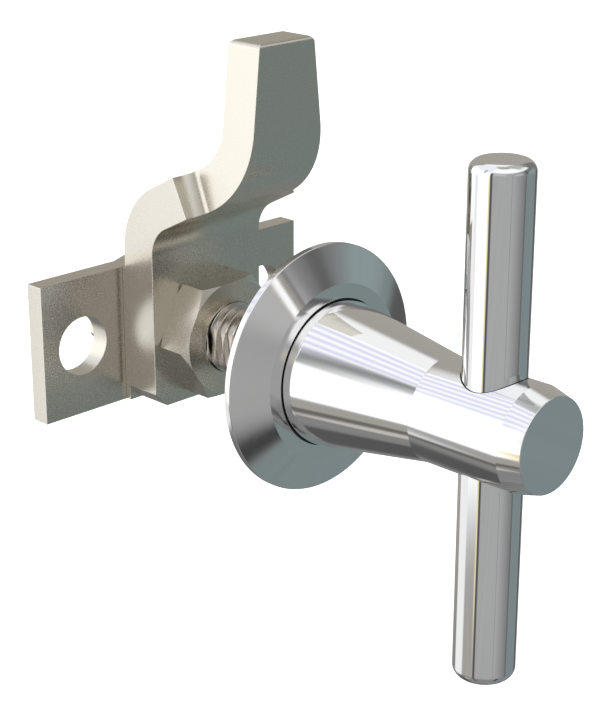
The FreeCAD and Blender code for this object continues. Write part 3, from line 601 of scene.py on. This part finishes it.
def makeCam(s):
    rear = s["front"] + s["thickness"]
    tipFront = s["front"] - s["crank"]
    low = (s["front"] - s["lowerBend"], s["bendStart"])
    bend = math.radians(s["bend"])
    span = s["lowerBend"] + s["upperBend"] + s["thickness"]
    highY = tipFront + s["upperBend"] + s["thickness"]
    high = (highY, s["bendStart"] + (span - (highY - low[0]) * math.cos(bend)) / math.sin(bend))
    upperStart = 180 + s["bend"]
    outline = [
        (s["front"], -s["foot"]),
        *arc(low, s["lowerBend"], 0, s["bend"], count=16),
        *arc(high, s["upperBend"] + s["thickness"], upperStart, 180, count=24),
        (tipFront, s["reach"]), (tipFront + s["thickness"], s["reach"]),
        *arc(high, s["upperBend"], 180, upperStart, count=20),
        *arc(low, s["lowerBend"] + s["thickness"], s["bend"], 0, count=24),
        (rear, -s["foot"]),
    ]
    cam = pullAcross("crankedCam", outline, s["width"])

    along = Vector((0, -math.sin(bend), math.cos(bend)))
    bendEnd = (low[0] + s["lowerBend"] * math.cos(bend), low[1] + s["lowerBend"] * math.sin(bend))
    cutShoulders(cam, s, Vector((0, *bendEnd)) + along * s["shoulder"], along)

    def isFootCorner(a, b):
        isAlongY = abs(a.x - b.x) < near and abs(a.z - b.z) < near
        return isAlongY and a.z < near - s["foot"]
    bevelEdges(cam, isFootCorner, s["footChamfer"], segments=1)
    bevelEdges(cam, lambda a, b: min(a.z, b.z) > s["reach"] - near, s["tipRound"], segments=5)
    openForSpindle(cam, s["front"], rear, s["edge"])
    return cam


def makePlate(s):
    middle = (s["front"] + s["rear"]) / 2
    plate = block("rodPlate", (-s["length"] / 2, s["front"], -s["height"] / 2),
                  (s["length"] / 2, s["rear"], s["height"] / 2))
    for side in (-1, 1):
        carve(plate, rod(s["hole"], s["holeDepth"], (side * s["holes"], middle, 0), vertices=96,
                         rotation=(90, 0, 0)))
    openForSpindle(plate, s["front"], s["rear"], s["edge"])
    return plate


def makeSpacer(s):
    half = s["width"] / 2
    spacer = block("spacerWasher", (-half, s["front"], -half), (half, s["rear"], half))
    openForSpindle(spacer, s["front"], s["rear"], s["edge"])
    return spacer


cam = makeCam(camSizes)
dress(cam, "handle", "satinNickel", "satin_nickel", "cam")
plate = makePlate(plateSizes)
dress(plate, "handle", "satinNickel", "satin_nickel", "rod_plate")
spacer = makeSpacer(spacerSizes)
dress(spacer, "handle", "satinNickel", "zinc_plate", "spacer_washer")


mountingWasherSizes = {"front": 2.0, "rear": 3.0, "inner": 9.05, "outer": 12.0, "edge": 0.1}
thrustWasherSizes = {"front": 9.0, "rear": 9.8, "inner": 6.05, "outer": 8.8, "edge": 0.1}
lockWasherSizes = {"front": 37.3, "rear": 38.9, "inner": 6.05, "outer": 10.55, "edge": 0.12}
splitSizes = {"width": 0.8, "lean": 25.0, "depth": 14.0, "reach": 2.0}


def makeRing(name, s):
    ring = turn(name, [(s["front"], s["inner"]), (s["rear"], s["inner"]), (s["rear"], s["outer"]),
                       (s["front"], s["outer"])])
    soften(ring, s["edge"], angle=40)
    return ring


# saws a leaning split through the underside of a ring
def splitRing(ring, front, rear, cut):
    saw = block("saw", (-cut["width"] / 2, front - cut["reach"], -cut["depth"]),
                (cut["width"] / 2, rear + cut["reach"], 0))
    edit()
    bpy.ops.transform.rotate(value=math.radians(cut["lean"]), orient_axis="Z",
                             center_override=Vector((0, (front + rear) / 2, 0)) * mm)
    leaveEdit()
    carve(ring, saw)


mountingWasher = makeRing("mountingWasher", mountingWasherSizes)
finish(mountingWasher, angle=40)
dress(mountingWasher, "rosette", "zincPlate", "zinc_plate", "mounting_washer")
thrustWasher = makeRing("thrustWasher", thrustWasherSizes)
finish(thrustWasher, angle=40)
dress(thrustWasher, "rosette", "zincPlate", "zinc_plate", "thrust_washer")
lockWasher = makeRing("lockWasher", lockWasherSizes)
splitRing(lockWasher, lockWasherSizes["front"], lockWasherSizes["rear"], splitSizes)
finish(lockWasher, angle=40)
dress(lockWasher, "handle", "springSteel", "spring_steel", "lock_washer")
print("cam, plate and washers made")


# finishes of the CAD nodes that stay
nodeFinish = {
    "retaining_ring": "springSteel", "grub_screw": "springSteel", "stop_pin": "springSteel",
    "locating_pin": "springSteel", "neck_bush": "bronze", "friction_washer": "whiteNylon",
    "hub_seal": "blackRubber", "door_gasket": "paleRubber",
}
for name, material in nodeFinish.items():
    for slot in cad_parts[name].material_slots:
        slot.material = materials[material]
print("nodes dressed")


# studio: soft cards that only the metal sees, a plain lamp and a plain floor
# each card has azimuth (0 is the user's side, 90 is +X), elevation, half width, half height and blur
# in degrees, then brightness and tint; a later card covers an earlier one
studioCards = {
    "overhead": (-20, 55, 90, 20, 6, 1.1, "plain"),
    "ceiling": (140, 75, 110, 27, 12, 0.5, "plain"),
    "ground": (0, -70, 180, 35, 8, 0.25, "plain"),
    "backGround": (165, -58, 42, 12, 8, 0.1, "plain"),
    "sideFlag": (66, -36, 34, 32, 4, 0.1, "plain"),
    "sideCard": (61, -30, 26, 42, 3, 0.265, "cool"),
    "sideTop": (62, 8, 20, 9, 5, 0.34, "cool"),
    "footShade": (3, -48, 7, 10, 5, 0.05, "plain"),
    "sideFoot": (24, -52, 12, 14, 3, 0.265, "cool"),
    "sideLow": (93, -45, 12, 12, 3, 0.265, "cool"),
    "frontCard": (8, 16, 16, 8, 6, 0.5, "plain"),
    "frontFlag": (40, 18, 5, 12, 4, 0.13, "plain"),
    "backWall": (144, 12, 36, 40, 6, 0.4, "warm"),
    "backCard": (150, 63.5, 38, 12.5, 5, 1.0, "plain"),
    "leftRoom": (-62, 21, 22, 7, 8, 0.62, "warm"),
    "window": (-136, 25.35, 42.5, 49.65, 3, 1.42, "plain"),
    "windowTint": (-145, -14, 5, 8, 3, 0.98, "sky"),
    "windowLow": (-157, -26, 20, 12, 4, 0.95, "plain"),
    "windowFlag": (-117.3, 33, 3.6, 13, 4, 0.3, "plain"),
    "windowFoot": (-114, -33, 18, 6, 3, 0.4, "warm"),
    "windowGap": (-122, -40, 22, 2.5, 2, 0.16, "warm"),
    "lowCard": (-119, -47.5, 13, 3, 2, 0.58, "warm"),
    "lamp": (-95, -20, 2.5, 8, 2, 0.95, "amber"),
    "frontLine": (-18, -17, 1, 30, 1, 0.3, "plain"),
    "leftFlag": (-88, -20, 4, 48, 2, 0.1, "plain"),
}
studioTints = {"plain": (1, 1, 1), "sky": (0.79, 0.81, 1), "cool": (0.82, 1, 1.02), "warm": (1, 0.95, 0.86),
               "amber": (1, 0.85, 0.5)}
studioRoom = {"left": 0.42, "right": 0.2, "from": -14, "to": 34}
louvre = {"light": 1.1, "shade": 1.0, "pitch": 9.5, "low": 32, "high": 78, "blur": 4}
studioStreaks = {"scale": 0.35, "detail": 3, "low": 0.97, "high": 1.03}


# the mask of a soft-edged card in the sky
def makeCardGroup():
    group, given, out = newGroup(
        "softCard",
        [("Azimuth", "Float", 0.0), ("Elevation", "Float", 0.0), ("Middle Azimuth", "Float", 0.0),
         ("Middle Elevation", "Float", 0.0), ("Half Width", "Float", 20.0), ("Half Height", "Float", 20.0),
         ("Blur", "Float", 3.0)],
        [("Mask", "Float")])
    masks = []
    for way, half in (("Azimuth", "Half Width"), ("Elevation", "Half Height")):
        away = maths(group, "SUBTRACT", given[way], given["Middle " + way])
        fade = addNode(group, "ShaderNodeMapRange", {
            "Value": maths(group, "ABSOLUTE", maths(group, "WRAP", away, 180, -180)),
            "From Min": maths(group, "SUBTRACT", given[half], given["Blur"]),
            "From Max": maths(group, "ADD", given[half], given["Blur"]), "To Min": 1, "To Max": 0,
        }, interpolation_type="SMOOTHSTEP")
        masks.append(fade.outputs["Result"])
    feed(group, out, {"Mask": maths(group, "MULTIPLY", *masks)})
    return group


def shine(brightness, tint="plain"):
    return (*[brightness * part for part in studioTints[tint]], 1)


def makeWorld():
    world = bpy.data.worlds.new("studio")
    bpy.context.scene.world = world
    world.use_nodes = True
    tree = world.node_tree
    tree.nodes.clear()

    place = addNode(tree, "ShaderNodeTexCoord")
    x, y, z = addNode(tree, "ShaderNodeSeparateXYZ", {0: place.outputs["Generated"]}).outputs
    azimuth = maths(tree, "DEGREES", maths(tree, "ARCTAN2", x, maths(tree, "MULTIPLY", y, -1)))
    elevation = maths(tree, "DEGREES", maths(tree, "ARCSINE", z))
    roll = maths(tree, "DEGREES", maths(tree, "ARCTAN2", maths(tree, "MULTIPLY", x, -1), z))

    across = addNode(tree, "ShaderNodeMapRange", {
        "Value": azimuth, "From Min": studioRoom["from"], "From Max": studioRoom["to"]})
    colour = blend(tree, across.outputs["Result"], shine(studioRoom["left"]), shine(studioRoom["right"]))
    cardGroup = makeCardGroup()

    def cardMask(azimuthAt, elevationAt, width, height, blur):
        return addNode(tree, "ShaderNodeGroup", {
            "Azimuth": azimuth, "Elevation": elevation, "Middle Azimuth": azimuthAt,
            "Middle Elevation": elevationAt, "Half Width": width, "Half Height": height, "Blur": blur,
        }, node_tree=cardGroup).outputs["Mask"]

    for name, (*card, brightness, tint) in studioCards.items():
        colour = blend(tree, cardMask(*card), colour, shine(brightness, tint))
        if name == "window":
            # louvres in the upper part of the window
            middle, half = (louvre["low"] + louvre["high"]) / 2, (louvre["high"] - louvre["low"]) / 2
            zone = cardMask(card[0], middle, card[2], half, louvre["blur"])
            wave = maths(tree, "SINE", maths(tree, "MULTIPLY", roll, 2 * math.pi / louvre["pitch"]))
            slat = maths(tree, "MULTIPLY_ADD", wave, 0.5, 0.5)
            slats = blend(tree, slat, shine(louvre["shade"], "sky"), shine(louvre["light"]))
            colour = blend(tree, zone, colour, slats)

    # faint streaks along the spindle's direction, as a polished turning shows them
    streaks = addNode(tree, "ShaderNodeTexNoise", noise_dimensions="1D")
    feed(tree, streaks, {"W": roll, "Scale": studioStreaks["scale"], "Detail": studioStreaks["detail"]})
    strength = addNode(tree, "ShaderNodeMapRange", {
        "Value": streaks.outputs["Fac"], "To Min": studioStreaks["low"], "To Max": studioStreaks["high"],
        **noiseRange})
    studio = addNode(tree, "ShaderNodeBackground", {"Color": colour, "Strength": strength.outputs["Result"]})
    white = addNode(tree, "ShaderNodeBackground", {"Color": (1, 1, 1, 1)})
    rays = addNode(tree, "ShaderNodeLightPath")
    choice = addNode(tree, "ShaderNodeMixShader", {
        "Fac": rays.outputs["Is Camera Ray"], 1: studio.outputs["Background"], 2: white.outputs["Background"]})
    addNode(tree, "ShaderNodeOutputWorld", {"Surface": choice.outputs["Shader"]})


lampSizes = {"place": (-500, -300, 700), "side": 600, "power": 6}
floorSizes = {"side": 6000, "height": -75, "colour": (0.8, 0.8, 0.8, 1), "roughness": 0.9, "glow": 0.62}
cameraSizes = {"place": (-195.449, -191.541, 100.593), "tilt": 70.0, "pan": -45.0, "lens": 91.70,
               "sensor": 36, "clip": 10}


def makeLamp(s):
    deselect()
    bpy.ops.object.light_add(type="AREA", location=Vector(s["place"]) * mm)
    lamp = bpy.context.object
    lamp.name = "keyBox"
    lamp.data.shape = "RECTANGLE"
    lamp.data.size = lamp.data.size_y = s["side"] * mm
    lamp.data.energy = s["power"]
    lamp.rotation_euler = (-Vector(s["place"])).to_track_quat("-Z", "Y").to_euler()
    lamp.visible_glossy = False


# the floor glows a little for the camera, so it comes out as white as the background
def makeFloor(s):
    deselect()
    bpy.ops.mesh.primitive_plane_add(size=s["side"] * mm, location=(0, 0, s["height"] * mm))
    floor = bpy.context.object
    floor.name = "floor"
    placeInMesh(floor)
    material = bpy.data.materials.new("floorWhite")
    material.use_nodes = True
    tree = material.node_tree
    shader = tree.nodes["Principled BSDF"]
    feed(tree, shader, {"Base Color": s["colour"], "Roughness": s["roughness"]})
    rays = addNode(tree, "ShaderNodeLightPath")
    glow = addNode(tree, "ShaderNodeEmission", {
        "Color": (1, 1, 1, 1), "Strength": maths(tree, "MULTIPLY", rays.outputs["Is Camera Ray"], s["glow"])})
    both = addNode(tree, "ShaderNodeAddShader", {0: shader.outputs["BSDF"], 1: glow.outputs["Emission"]})
    feed(tree, tree.nodes["Material Output"], {"Surface": both.outputs["Shader"]})
    floor.data.materials.append(material)
    floor.visible_glossy = False


def makeCamera(s):
    bpy.ops.object.camera_add(location=Vector(s["place"]) * mm,
                              rotation=(math.radians(s["tilt"]), 0, math.radians(s["pan"])))
    camera = bpy.context.object
    camera.data.sensor_fit = "VERTICAL"
    camera.data.sensor_height = s["sensor"]
    camera.data.lens = s["lens"]
    camera.data.clip_start = s["clip"] * mm
    bpy.context.scene.camera = camera


makeWorld()
makeLamp(lampSizes)
makeFloor(floorSizes)
makeCamera(cameraSizes)
bpy.context.scene.view_settings.view_transform = "Standard"
print("studio set")
